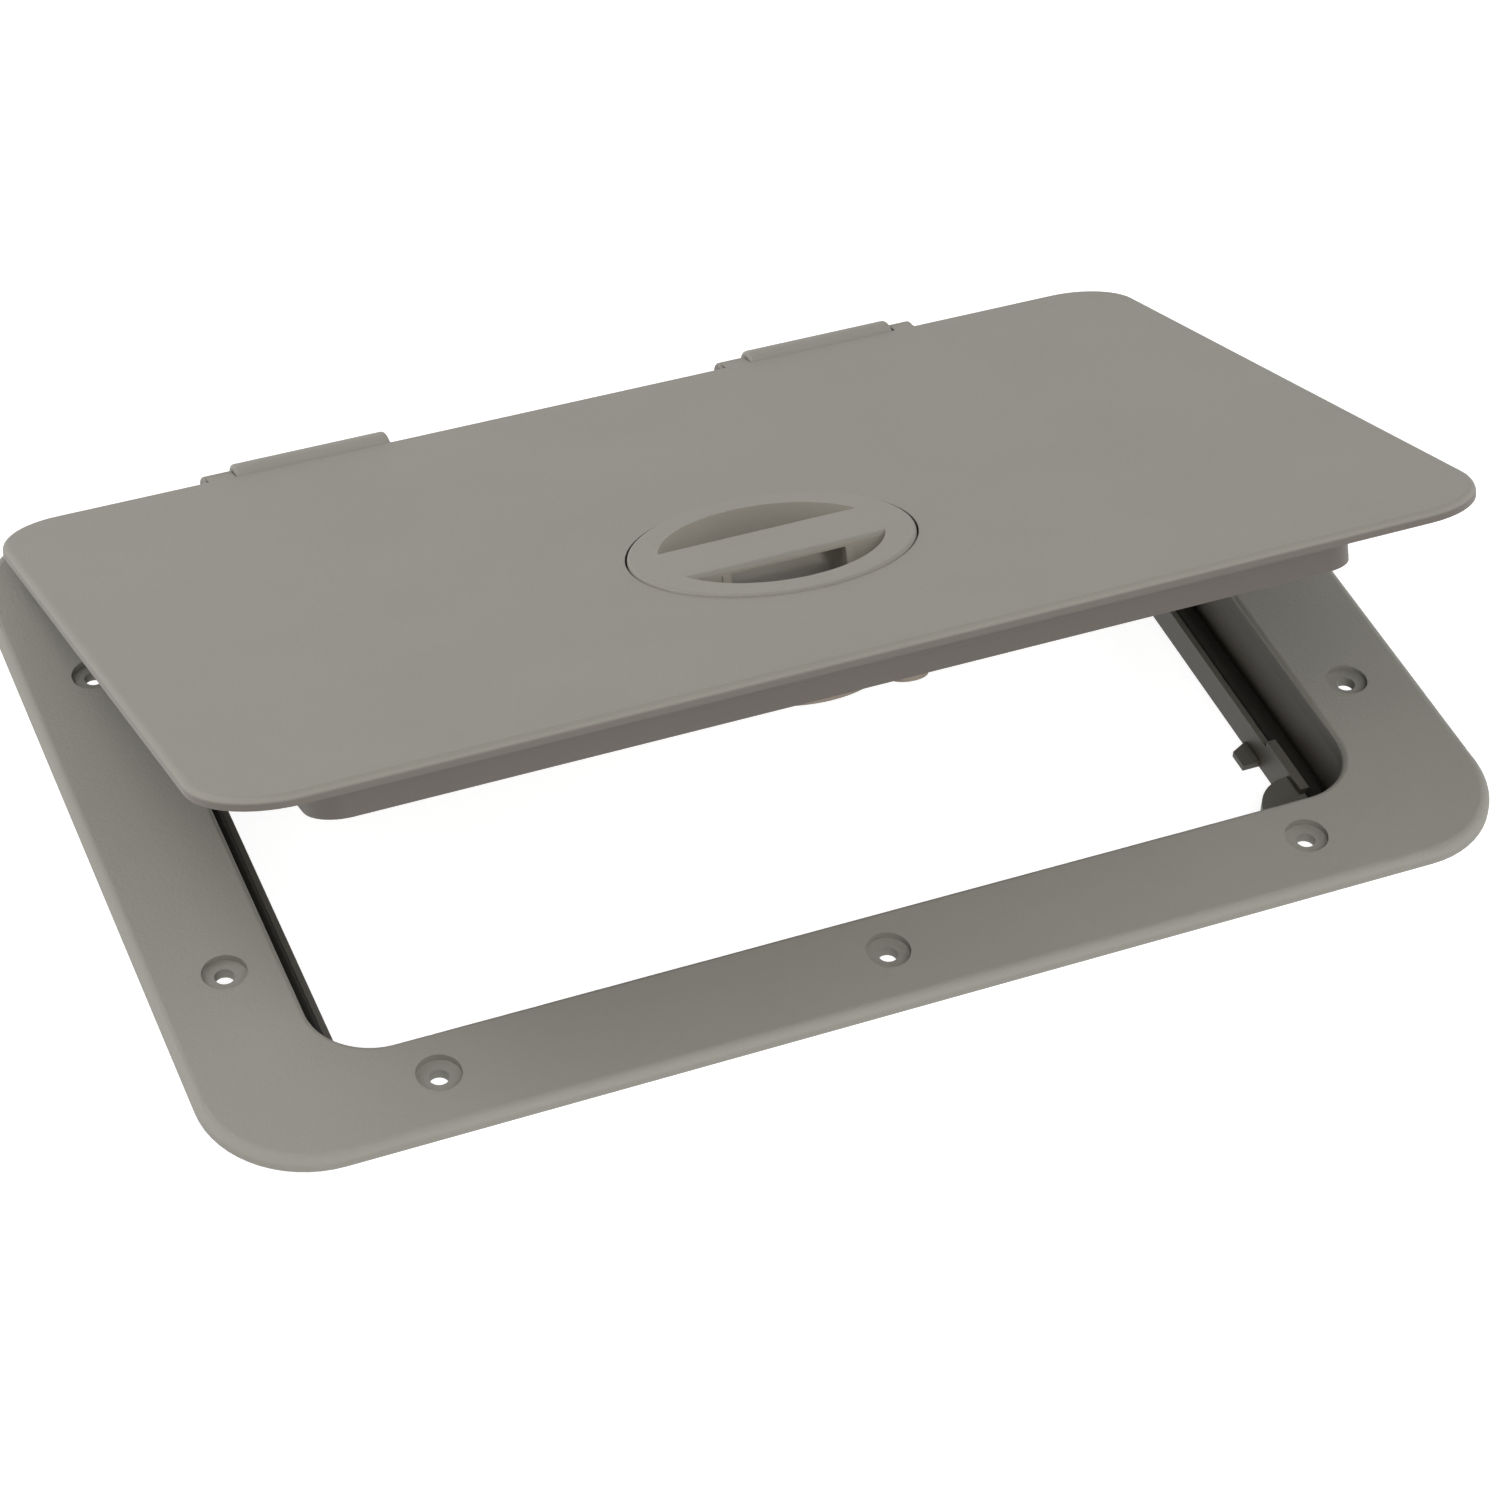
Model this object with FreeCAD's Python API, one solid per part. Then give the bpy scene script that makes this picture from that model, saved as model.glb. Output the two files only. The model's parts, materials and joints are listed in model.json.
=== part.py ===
import FreeCAD, Part
import math
import os

from FreeCAD import Vector

# Hinged access hatch with a twist handle and a cam arm, in millimetres.
# +X runs along the hinge line, -Y is the front, +Z is up. The origin is the centre of the
# mounting screws in the plane of the deck, which is the underside of the flange.
# The lid and its latch are modelled closed and then swung open to their rest place.

# Frame
FRAME_LENGTH = 381.0
FRAME_DEPTH = 266.7
FRAME_CORNER_R = 31.0
FLANGE_EDGE_H = 4.0
FLANGE_INNER_H = 5.75
FLANGE_EDGE_ROUND = 3.0
SIDE_BAND = 36.1
FRONT_BAND = 31.9
OPENING_CORNER_R = 18.5
OPENING_EDGE_ROUND = 1.5
WALL_T = 3.0
WALL_LEAN = 1.2
WALL_DROP = 23.7
CHANNEL_W = 6.0
CHANNEL_FLOOR_T = 2.0
LIP_T = 1.8
LIP_TOP_DROP = 14.0

# Mounting screws
SCREW_HOLE_R = 2.75
COUNTERBORE_R = 6.2
COUNTERBORE_DEPTH = 1.8
ROW_SCREW_X = 128.2
ROW_SCREW_INSET = 18.2
SIDE_SCREW_INSET = 20.9
SIDE_SCREW_FRONT = 72.2
SIDE_SCREW_BACK = 69.2

# Details of the lip: a tab, a pad and a round lobe near one corner, a shelf along half of the front
TAB_REACH = 5.4
TAB_W = 9.4
TAB_SLANT = 2.8
TAB_FRONT_FROM_FRONT = 73.9
TAB_T = 1.9
PAD_INTO_CHANNEL = 1.1
PAD_BACK_FROM_FRONT = 71.9
LOBE_R = 13.3
LOBE_FROM_FRONT = 45.3
SHELF_REACH = 7.1
SHELF_T = 2.0
SHELF_LEFT_X = -118.0
SHELF_RIGHT_X = -34.0

# Rubber gasket in the channel
GASKET_SIDE_GAP = 0.1
GASKET_H = 9.8
GASKET_ROUND = 2.6

# Lid
LID_SIDE_MARGIN = 8.2
LID_FRONT_MARGIN = 9.5
LID_T = 3.4
LID_CLEARANCE = 0.45
LID_FRONT_CORNER_R = 24.0
LID_BACK_CORNER_R = 20.0
LID_TOP_ROUND = 2.2
SKIRT_GAP = 2.7
SKIRT_T = 2.4
SKIRT_CORNER_R = 10.5
SKIRT_GASKET_GAP = 0.3
RIB_T = 2.0
RIB_H = 5.5
RIB_FROM_CUP = 8.3
RIB_X_FAR = 106.0
RIB_BACK_FROM_LATCH = 75.0
LID_OPEN_AT_REST = 22.3

# Hinge
HINGE_INSET = 2.7
HINGE_BEHIND_LID = 3.6
HINGE_BELOW_LID = 4.5
HINGE_X = 83.0
BLOCK_W = 48.4
BLOCK_R = 6.4
BLOCK_END_ROUND = 1.2
BLOCK_NOTCH_GAP = 0.3
EAR_R = 4.6
EAR_LEFT_W = 9.2
EAR_RIGHT_W = 7.6
EAR_END_ROUND = 1.0
EAR_END_WALL = 1.5
EAR_SIDE_GAP = 0.4
EAR_POCKET_GAP = 0.6
PIN_R = 1.6
PIN_CLEARANCE = 0.05
PIN_END_GAP = 0.2
PIN_TAIL = 0.6
CLIP_R = 3.2
CLIP_T = 0.8
CLIP_GAP = 0.1
CLIP_RECESS_R = 3.6
CLIP_RECESS_DEPTH = 1.8
CLIP_POCKET_W = 2.2

# Twist handle
LATCH_FROM_LID_FRONT = 90.7
LATCH_X = 2.5
HANDLE_R = 40.1
HANDLE_GAP = 0.6
HANDLE_PROUD = 0.7
HANDLE_EDGE_ROUND = 1.0
HANDLE_RIM_W = 8.6
RECESS_DEPTH = 11.5
BAR_W = 23.0
BAR_T = 2.0
BAR_EDGE_ROUND = 1.2
WINDOW_W = 34.0
JAMB_W = 2.4
JAMB_PROUD = 0.8
HANDLE_FLOOR_T = 2.5
SHANK_R = 9.0
SHANK_SQUARE = 12.4
SHANK_CLEARANCE = 0.05
SQUARE_CLEARANCE = 0.1

# Cup that the handle turns in
CUP_FLOOR_GAP = 1.0
CUP_WALL_T = 2.4
CUP_FLOOR_T = 3.0
CUP_FLANGE_REACH = 10.6
CUP_FLANGE_T = 2.5
CUP_SEAL_T = 0.8
CUP_BOSS_R = 14.0
LID_RING_DROP = 3.6
CUP_SCREW_INSET = 5.3
CUP_SCREW_R = 1.75
CUP_SCREW_CLEARANCE = 0.05
CUP_SCREW_HEAD_R = 3.6
CUP_SCREW_HEAD_H = 2.2
CUP_SCREW_COVER = 4.0
CUP_SCREW_COUNT = 4

# Seal, cam arm and its fixing
O_RING_SECTION_R = 1.0
O_RING_GROOVE_W = 2.4
O_RING_FROM_FLOOR = 3.5
WASHER_R = 13.0
WASHER_T = 1.5
WASHER_GAP = 0.2
ARM_RIM_GAP = 0.7
ARM_T = 5.0
ARM_BOSS_H = 3.5
ARM_BOSS_R = 13.0
ARM_HUB_R = 22.6
ARM_HUB_X = 3.5
ARM_HUB_Y = -2.6
ARM_LENGTH = 70.0
ARM_TIP_R = 9.0
ARM_LOBE_R = 6.0
ARM_LOBE_X = 28.0
ARM_LOBE_Y = -20.0
ARM_RAMP = 2.0
CAM_RECESS_R = 10.0
CAM_RECESS_DEPTH = 3.0
CAM_WASHER_R = 9.5
CAM_WASHER_T = 1.2
CAM_SCREW_R = 2.5
CAM_SCREW_CLEARANCE = 0.05
CAM_SCREW_DEPTH = 14.0
CAM_HEAD_R = 5.5
CAM_HEAD_H = 3.2
HEAD_ROUND = 0.8

# Heights worked out from the values above
RIM_Z = -WALL_DROP
LIP_TOP_Z = -LIP_TOP_DROP
CHANNEL_FLOOR_Z = RIM_Z + CHANNEL_FLOOR_T
GASKET_TOP_Z = CHANNEL_FLOOR_Z + GASKET_H
LID_UNDER_Z = FLANGE_INNER_H + LID_CLEARANCE
LID_TOP_Z = LID_UNDER_Z + LID_T
SKIRT_BOTTOM_Z = GASKET_TOP_Z + SKIRT_GASKET_GAP
HANDLE_TOP_Z = LID_TOP_Z + HANDLE_PROUD
HANDLE_FLOOR_Z = LID_TOP_Z - RECESS_DEPTH
HANDLE_BOTTOM_Z = HANDLE_FLOOR_Z - HANDLE_FLOOR_T
CUP_FLOOR_TOP_Z = HANDLE_BOTTOM_Z - CUP_FLOOR_GAP
CUP_FLOOR_BOTTOM_Z = CUP_FLOOR_TOP_Z - CUP_FLOOR_T
LID_RING_Z = LID_UNDER_Z - LID_RING_DROP
CUP_FLANGE_TOP_Z = LID_RING_Z - CUP_SEAL_T
CUP_FLANGE_BOTTOM_Z = CUP_FLANGE_TOP_Z - CUP_FLANGE_T
ARM_TOP_Z = RIM_Z - ARM_RIM_GAP
ARM_BOTTOM_Z = ARM_TOP_Z - ARM_T
ARM_BOSS_TOP_Z = ARM_TOP_Z + ARM_BOSS_H
WASHER_TOP_Z = ARM_BOSS_TOP_Z + WASHER_T
CUP_BOSS_Z = WASHER_TOP_Z + WASHER_GAP
CAM_SEAT_Z = ARM_BOTTOM_Z + CAM_RECESS_DEPTH
CAM_WASHER_BOTTOM_Z = CAM_SEAT_Z - CAM_WASHER_T

# Plan sizes worked out from the values above
OPENING_LENGTH = FRAME_LENGTH - 2 * SIDE_BAND
OPENING_DEPTH = FRAME_DEPTH - 2 * FRONT_BAND
FRAME_FRONT_Y = -FRAME_DEPTH / 2
LIP_OUTER_INSET = WALL_LEAN + CHANNEL_W
LIP_INNER_INSET = LIP_OUTER_INSET + LIP_T
LIP_OUTER_X = OPENING_LENGTH / 2 - LIP_OUTER_INSET
LIP_INNER_X = OPENING_LENGTH / 2 - LIP_INNER_INSET
LIP_INNER_FRONT_Y = -OPENING_DEPTH / 2 + LIP_INNER_INSET
SKIRT_LENGTH = OPENING_LENGTH - 2 * (WALL_LEAN + SKIRT_GAP)
SKIRT_DEPTH = OPENING_DEPTH - 2 * (WALL_LEAN + SKIRT_GAP)
HINGE_Y = FRAME_DEPTH / 2 - HINGE_INSET
HINGE_Z = LID_TOP_Z - HINGE_BELOW_LID
LID_BACK_Y = HINGE_Y - HINGE_BEHIND_LID
LID_FRONT_Y = FRAME_FRONT_Y + LID_FRONT_MARGIN
LID_LENGTH = FRAME_LENGTH - 2 * LID_SIDE_MARGIN
LATCH_Y = LID_FRONT_Y + LATCH_FROM_LID_FRONT
LATCH_PLACE = (LATCH_X, LATCH_Y)
EAR_INNER_X = BLOCK_W / 2 + EAR_SIDE_GAP
LATCH_HOLE_R = HANDLE_R + HANDLE_GAP
RECESS_R = HANDLE_R - HANDLE_RIM_W
CUP_OUTER_R = LATCH_HOLE_R + CUP_WALL_T
CUP_FLANGE_R = CUP_OUTER_R + CUP_FLANGE_REACH
CUP_SCREW_RING_R = CUP_FLANGE_R - CUP_SCREW_INSET
RIB_X_NEAR = CUP_FLANGE_R + RIB_FROM_CUP


def rounded_wire(length, depth, radius, z):
    """A rounded rectangle about the origin."""
    x = length / 2
    y = depth / 2
    k = radius * math.sqrt(0.5)
    edges = []
    corners = [(1, -1), (1, 1), (-1, 1), (-1, -1)]
    for index, (sx, sy) in enumerate(corners):
        cx = sx * (x - radius)
        cy = sy * (y - radius)
        along_x = Vector(cx, sy * y, z)
        along_y = Vector(sx * x, cy, z)
        middle = Vector(cx + sx * k, cy + sy * k, z)
        first, last = (along_x, along_y) if index % 2 == 0 else (along_y, along_x)
        if edges:
            edges.append(Part.makeLine(edges[-1].Vertexes[-1].Point, first))
        edges.append(Part.Arc(first, middle, last).toShape())
    edges.append(Part.makeLine(edges[-1].Vertexes[-1].Point, edges[0].Vertexes[0].Point))
    return Part.Wire(edges)


def rounded_prism(length, depth, radius, z_low, z_high):
    face = Part.Face(rounded_wire(length, depth, radius, z_low))
    return face.extrude(Vector(0, 0, z_high - z_low))


def opening_wire(inset, z):
    """The outline of the frame's opening, made smaller by inset on every side."""
    return rounded_wire(OPENING_LENGTH - 2 * inset, OPENING_DEPTH - 2 * inset, OPENING_CORNER_R - inset, z)


def opening_prism(inset, z_low, z_high):
    return Part.Face(opening_wire(inset, z_low)).extrude(Vector(0, 0, z_high - z_low))


def opening_ring(inset_outer, inset_inner, z_low, z_high):
    return opening_prism(inset_outer, z_low, z_high).cut(opening_prism(inset_inner, z_low - 1, z_high + 1))


def box(x_low, x_high, y_low, y_high, z_low, z_high):
    return Part.makeBox(x_high - x_low, y_high - y_low, z_high - z_low, Vector(x_low, y_low, z_low))


def cylinder(radius, z_low, z_high, x=0.0, y=0.0):
    return Part.makeCylinder(radius, z_high - z_low, Vector(x, y, z_low))


def tube(outer_r, inner_r, z_low, z_high, x=0.0, y=0.0):
    return cylinder(outer_r, z_low, z_high, x, y).cut(cylinder(inner_r, z_low - 1, z_high + 1, x, y))


def cross_cylinder(radius, x_low, x_high):
    """A cylinder along the hinge line."""
    return Part.makeCylinder(radius, x_high - x_low, Vector(x_low, HINGE_Y, HINGE_Z), Vector(1, 0, 0))


def edges_where(shape, test):
    return [edge for edge in shape.Edges if test(edge)]


def edge_is_flat_at(edge, z):
    box_of_edge = edge.BoundBox
    return abs(box_of_edge.ZMin - z) < 1e-4 and abs(box_of_edge.ZMax - z) < 1e-4


def edge_is_across_at(edge, x):
    """True for an edge in the plane square to the hinge line at x."""
    box_of_edge = edge.BoundBox
    return abs(box_of_edge.XMin - x) < 1e-4 and abs(box_of_edge.XMax - x) < 1e-4


def swing_open(shape):
    """Takes a shape from the closed lid to the lid's rest place."""
    moved = shape.copy()
    moved.rotate(Vector(0, HINGE_Y, HINGE_Z), Vector(1, 0, 0), -LID_OPEN_AT_REST)
    return moved


# Frame

def flange_height(inset, band):
    """Height of the sloping flange at a distance from its outer edge."""
    return FLANGE_EDGE_H + (FLANGE_INNER_H - FLANGE_EDGE_H) * inset / band


def screw_places():
    """x, y and flange height at each mounting screw."""
    row_y = FRAME_DEPTH / 2 - ROW_SCREW_INSET
    side_x = FRAME_LENGTH / 2 - SIDE_SCREW_INSET
    row_h = flange_height(ROW_SCREW_INSET, FRONT_BAND)
    side_h = flange_height(SIDE_SCREW_INSET, SIDE_BAND)
    places = [(x, y, row_h) for x in (-ROW_SCREW_X, 0.0, ROW_SCREW_X) for y in (-row_y, row_y)]
    for x in (-side_x, side_x):
        places.append((x, FRAME_FRONT_Y + SIDE_SCREW_FRONT, side_h))
        places.append((x, FRAME_DEPTH / 2 - SIDE_SCREW_BACK, side_h))
    return places


def make_flange():
    outer = rounded_wire(FRAME_LENGTH, FRAME_DEPTH, FRAME_CORNER_R, FLANGE_EDGE_H)
    inner = opening_wire(0, FLANGE_INNER_H)
    crown = Part.makeLoft([outer, inner], True, True)
    flange = rounded_prism(FRAME_LENGTH, FRAME_DEPTH, FRAME_CORNER_R, 0, FLANGE_EDGE_H).fuse(crown)
    flange = flange.removeSplitter()
    rim_edges = edges_where(flange, lambda edge: edge_is_flat_at(edge, FLANGE_EDGE_H))
    flange = flange.makeFillet(FLANGE_EDGE_ROUND, rim_edges)
    flange = flange.cut(opening_prism(0, -1, FLANGE_INNER_H + 1))
    opening_edges = edges_where(flange, lambda edge: edge_is_flat_at(edge, FLANGE_INNER_H))
    return flange.makeFillet(OPENING_EDGE_ROUND, opening_edges)


def leaning_body(inset):
    """A body that narrows by the wall's lean down to the gasket's top, then goes straight down."""
    top = opening_wire(inset, 0)
    middle = opening_wire(inset + WALL_LEAN, GASKET_TOP_Z)
    straight = opening_prism(inset + WALL_LEAN, RIM_Z, GASKET_TOP_Z)
    return Part.makeLoft([middle, top], True, True).fuse(straight)


def make_wall_and_channel():
    wall = leaning_body(-WALL_T).cut(leaning_body(0))
    channel = opening_ring(WALL_LEAN, LIP_INNER_INSET, RIM_Z, LIP_TOP_Z)
    channel = channel.cut(opening_ring(WALL_LEAN, LIP_OUTER_INSET, CHANNEL_FLOOR_Z, 0))
    return wall.fuse(channel)


def make_lip_tab():
    """A thin tab at the lip's foot; its back edge slants."""
    front_y = FRAME_FRONT_Y + TAB_FRONT_FROM_FRONT
    tip_x = LIP_INNER_X - TAB_REACH
    outline = Part.makePolygon([
        Vector(LIP_OUTER_X, front_y, RIM_Z),
        Vector(tip_x, front_y, RIM_Z),
        Vector(tip_x, front_y + TAB_W - TAB_SLANT, RIM_Z),
        Vector(LIP_INNER_X, front_y + TAB_W, RIM_Z),
        Vector(LIP_OUTER_X, front_y + TAB_W, RIM_Z),
        Vector(LIP_OUTER_X, front_y, RIM_Z),
    ])
    return Part.Face(outline).extrude(Vector(0, 0, TAB_T))


def make_lip_pad():
    """A pad on the lip, as high as the gasket, that runs forward to where the corner turns."""
    corner_y = -OPENING_DEPTH / 2 + OPENING_CORNER_R
    back_y = FRAME_FRONT_Y + PAD_BACK_FROM_FRONT
    return box(LIP_INNER_X, LIP_OUTER_X + PAD_INTO_CHANNEL, corner_y, back_y, RIM_Z, GASKET_TOP_Z)


def make_lip_lobe():
    """The round lobe that fills the corner of the lip."""
    lobe = cylinder(LOBE_R, RIM_Z, LIP_TOP_Z, LIP_INNER_X, FRAME_FRONT_Y + LOBE_FROM_FRONT)
    return lobe.common(opening_prism(LIP_OUTER_INSET, RIM_Z, LIP_TOP_Z))


def make_lip_shelf():
    return box(SHELF_LEFT_X, SHELF_RIGHT_X, LIP_INNER_FRONT_Y - LIP_T, LIP_INNER_FRONT_Y + SHELF_REACH,
               LIP_TOP_Z - SHELF_T, LIP_TOP_Z)


def make_hinge_block(center_x):
    x_low = center_x - BLOCK_W / 2
    x_high = center_x + BLOCK_W / 2
    barrel = cross_cylinder(BLOCK_R, x_low, x_high)
    foot = box(x_low, x_high, HINGE_Y - BLOCK_R, HINGE_Y + BLOCK_R, 0, HINGE_Z)
    above = box(x_low, x_high, HINGE_Y - BLOCK_R, HINGE_Y + BLOCK_R, 0, HINGE_Z + BLOCK_R)
    block = barrel.common(above).fuse(foot).removeSplitter()

    def is_round_end(edge):
        at_end = edge_is_across_at(edge, x_low) or edge_is_across_at(edge, x_high)
        return at_end and edge.BoundBox.ZMax > HINGE_Z + BLOCK_R / 2

    return block.makeFillet(BLOCK_END_ROUND, edges_where(block, is_round_end))


def ear_spans():
    """The lid's ears as their two ends, the outer end first. The right hinge has one on either side."""
    spans = []
    for center_x in (-HINGE_X, HINGE_X):
        spans.append((center_x - EAR_INNER_X - EAR_LEFT_W, center_x - EAR_INNER_X))
    spans.append((HINGE_X + EAR_INNER_X + EAR_RIGHT_W, HINGE_X + EAR_INNER_X))
    return spans


def hinge_pocket(x_low, x_high):
    """Room in the flange for what turns or sits beside a hinge block."""
    radius = EAR_R + EAR_POCKET_GAP
    swept = cross_cylinder(radius, x_low, x_high)
    open_back = box(x_low, x_high, HINGE_Y, HINGE_Y + 2 * radius, -1, HINGE_Z + radius)
    open_below = box(x_low, x_high, HINGE_Y - radius, HINGE_Y + 2 * radius, -1, HINGE_Z)
    return swept.fuse([open_back, open_below])


def make_frame():
    frame = make_flange().fuse(make_wall_and_channel())
    frame = frame.fuse([make_lip_tab(), make_lip_pad(), make_lip_lobe(), make_lip_shelf()])
    frame = frame.fuse([make_hinge_block(-HINGE_X), make_hinge_block(HINGE_X)])
    for ends in ear_spans():
        frame = frame.cut(hinge_pocket(min(ends) - EAR_SIDE_GAP, max(ends) + EAR_SIDE_GAP))
    clip_side_x = -HINGE_X + BLOCK_W / 2
    frame = frame.cut(hinge_pocket(clip_side_x, clip_side_x + CLIP_POCKET_W))
    pin_hole_r = PIN_R + PIN_CLEARANCE
    for center_x in (-HINGE_X, HINGE_X):
        frame = frame.cut(cross_cylinder(pin_hole_r, center_x - EAR_INNER_X, center_x + EAR_INNER_X))
    for x, y, height in screw_places():
        frame = frame.cut(cylinder(SCREW_HOLE_R, -1, height + 1, x, y))
        frame = frame.cut(cylinder(COUNTERBORE_R, height - COUNTERBORE_DEPTH, height + 2, x, y))
    return frame.removeSplitter()


def make_frame_gasket():
    outer_inset = WALL_LEAN + GASKET_SIDE_GAP
    inner_inset = LIP_OUTER_INSET - GASKET_SIDE_GAP
    gasket = opening_ring(outer_inset, inner_inset, CHANNEL_FLOOR_Z, GASKET_TOP_Z)
    top_edges = edges_where(gasket, lambda edge: edge_is_flat_at(edge, GASKET_TOP_Z))
    return gasket.makeFillet(GASKET_ROUND, top_edges).cut(make_lip_pad())


# Hinge pins, each pushed in from the right into the blind hole of the left ear

def clip_seat(side):
    """Where the pin's clip rests: on the left block's end, or in a recess of the right hinge's ear."""
    if side == "left":
        return -HINGE_X + BLOCK_W / 2 + CLIP_GAP
    return HINGE_X + EAR_INNER_X + EAR_RIGHT_W - CLIP_RECESS_DEPTH


def make_hinge_pin(side, center_x):
    blind_end = center_x - EAR_INNER_X - EAR_LEFT_W + EAR_END_WALL
    return cross_cylinder(PIN_R, blind_end + PIN_END_GAP, clip_seat(side) + CLIP_T + PIN_TAIL)


def make_pin_clip(side):
    """A push-on ring near the pin's right end."""
    seat = clip_seat(side)
    ring = cross_cylinder(CLIP_R, seat, seat + CLIP_T)
    return ring.cut(cross_cylinder(PIN_R, seat - 1, seat + CLIP_T + 1))


# Lid

def make_lid_panel():
    x = LID_LENGTH / 2
    panel = box(-x, x, LID_FRONT_Y, LID_BACK_Y, LID_UNDER_Z, LID_TOP_Z)

    def is_corner(edge, y):
        return edge.BoundBox.ZLength > LID_T / 2 and abs(edge.BoundBox.Center.y - y) < 1e-4

    for y, radius in ((LID_FRONT_Y, LID_FRONT_CORNER_R), (LID_BACK_Y, LID_BACK_CORNER_R)):
        corners = edges_where(panel, lambda edge: is_corner(edge, y))
        panel = panel.makeFillet(radius, corners)
    top_edges = edges_where(panel, lambda edge: edge_is_flat_at(edge, LID_TOP_Z))
    return panel.makeFillet(LID_TOP_ROUND, top_edges)


def make_skirt():
    outer = rounded_prism(SKIRT_LENGTH, SKIRT_DEPTH, SKIRT_CORNER_R, SKIRT_BOTTOM_Z, LID_UNDER_Z)
    inner = rounded_prism(SKIRT_LENGTH - 2 * SKIRT_T, SKIRT_DEPTH - 2 * SKIRT_T, SKIRT_CORNER_R - SKIRT_T,
                          SKIRT_BOTTOM_Z - 1, LID_UNDER_Z + 1)
    return outer.cut(inner)


def make_lid_ribs():
    end_x = SKIRT_LENGTH / 2 - SKIRT_T / 2
    end_y = SKIRT_DEPTH / 2 - SKIRT_T / 2
    low = LID_UNDER_Z - RIB_H
    half = RIB_T / 2
    ribs = []
    for x in (-RIB_X_FAR, -RIB_X_NEAR, RIB_X_NEAR, RIB_X_FAR):
        ribs.append(box(x - half, x + half, -end_y, end_y, low, LID_UNDER_Z))
    for y in (LATCH_Y, LATCH_Y + RIB_BACK_FROM_LATCH):
        ribs.append(box(-end_x, end_x, y - half, y + half, low, LID_UNDER_Z))
    return ribs


def make_lid_ear(outer_end, inner_end):
    knuckle = cross_cylinder(EAR_R, min(outer_end, inner_end), max(outer_end, inner_end))
    end_edges = edges_where(knuckle, lambda edge: edge_is_across_at(edge, outer_end))
    knuckle = knuckle.makeFillet(EAR_END_ROUND, end_edges)
    side = math.copysign(1, outer_end - inner_end)
    neck_ends = sorted((outer_end - side * EAR_END_ROUND, inner_end))
    neck_y = HINGE_Y - HINGE_BEHIND_LID - LID_TOP_ROUND
    return knuckle.fuse(box(*neck_ends, neck_y, HINGE_Y, HINGE_Z, LID_TOP_Z))


def ear_pin_hole(outer_end, inner_end):
    """Blind in a left ear. Right through in the right one, with the recess for the clip."""
    radius = PIN_R + PIN_CLEARANCE
    if outer_end < inner_end:
        return cross_cylinder(radius, outer_end + EAR_END_WALL, inner_end + EAR_SIDE_GAP)
    hole = cross_cylinder(radius, inner_end - EAR_SIDE_GAP, outer_end)
    return hole.fuse(cross_cylinder(CLIP_RECESS_R, outer_end - CLIP_RECESS_DEPTH - CLIP_GAP, outer_end))


def cup_screw_places():
    for index in range(CUP_SCREW_COUNT):
        angle = math.radians(45 + index * 360 / CUP_SCREW_COUNT)
        yield LATCH_X + CUP_SCREW_RING_R * math.cos(angle), LATCH_Y + CUP_SCREW_RING_R * math.sin(angle)


def make_lid():
    lid = make_lid_panel().fuse([make_skirt()] + make_lid_ribs())
    ring = cylinder(CUP_FLANGE_R, LID_RING_Z, LID_UNDER_Z, *LATCH_PLACE)
    lid = lid.cut(cylinder(CUP_FLANGE_R, LID_UNDER_Z - RIB_H - 1, LID_UNDER_Z, *LATCH_PLACE)).fuse(ring)
    lid = lid.cut(cylinder(LATCH_HOLE_R, LID_RING_Z - 1, LID_TOP_Z + 1, *LATCH_PLACE))
    for center_x in (-HINGE_X, HINGE_X):
        notch = cross_cylinder(BLOCK_R + BLOCK_NOTCH_GAP, center_x - EAR_INNER_X, center_x + EAR_INNER_X)
        lid = lid.cut(notch)
    for ends in ear_spans():
        lid = lid.fuse(make_lid_ear(*ends)).cut(ear_pin_hole(*ends))
    for x, y in cup_screw_places():
        pilot = cylinder(CUP_SCREW_R + CUP_SCREW_CLEARANCE, LID_RING_Z - 1, LID_TOP_Z - CUP_SCREW_COVER, x, y)
        lid = lid.cut(pilot)
    return lid.removeSplitter()


# Latch

def make_latch_cup():
    cup = cylinder(CUP_OUTER_R, CUP_FLOOR_BOTTOM_Z, CUP_FLANGE_TOP_Z, *LATCH_PLACE)
    cup = cup.fuse(cylinder(CUP_FLANGE_R, CUP_FLANGE_BOTTOM_Z, CUP_FLANGE_TOP_Z, *LATCH_PLACE))
    cup = cup.fuse(cylinder(CUP_BOSS_R, CUP_BOSS_Z, CUP_FLOOR_BOTTOM_Z, *LATCH_PLACE))
    cup = cup.cut(cylinder(LATCH_HOLE_R, CUP_FLOOR_TOP_Z, CUP_FLANGE_TOP_Z + 1, *LATCH_PLACE))
    cup = cup.cut(cylinder(SHANK_R + SHANK_CLEARANCE, CUP_BOSS_Z - 1, CUP_FLOOR_TOP_Z + 1, *LATCH_PLACE))
    for x, y in cup_screw_places():
        radius = CUP_SCREW_R + CUP_SCREW_CLEARANCE
        cup = cup.cut(cylinder(radius, CUP_FLANGE_BOTTOM_Z - 1, CUP_FLANGE_TOP_Z + 1, x, y))
    return cup.removeSplitter()


def make_cup_seal():
    seal = tube(CUP_FLANGE_R, LATCH_HOLE_R, CUP_FLANGE_TOP_Z, LID_RING_Z, *LATCH_PLACE)
    for x, y in cup_screw_places():
        radius = CUP_SCREW_R + CUP_SCREW_CLEARANCE
        seal = seal.cut(cylinder(radius, CUP_FLANGE_TOP_Z - 1, LID_RING_Z + 1, x, y))
    return seal


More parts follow.
